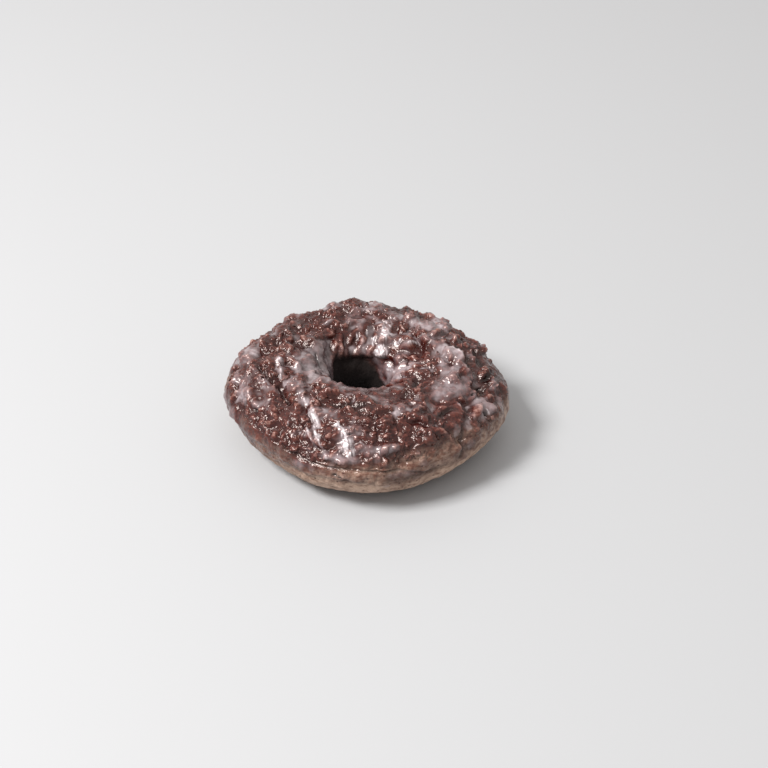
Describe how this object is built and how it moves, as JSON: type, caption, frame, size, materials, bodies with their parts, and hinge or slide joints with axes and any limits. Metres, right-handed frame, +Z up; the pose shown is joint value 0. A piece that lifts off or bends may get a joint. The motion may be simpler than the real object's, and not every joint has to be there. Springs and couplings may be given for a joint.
{
  "type": "glazed chocolate cake doughnut",
  "caption": "Ring-shaped chocolate cake doughnut with a craggy, crumbly top under a thin sugar glaze, a fluted centre hole and a flat underside it rests on.",
  "frame": {"origin": "middle of the doughnut's box, on the flat underside that it rests on", "axes": "+Z up through the hole; the side that the picture shows faces -Y, and +X is to the right of it"},
  "size_m": [0.0911, 0.0897, 0.0269],
  "materials": {
    "glazed_crust": "dark cocoa crumb under a thin, uneven, half-clear sugar glaze that is wet-looking on top and dull on the lower side"
  },
  "bodies": {
    "root": {"doughnut": "glazed_crust"}
  },
  "joints": []
}
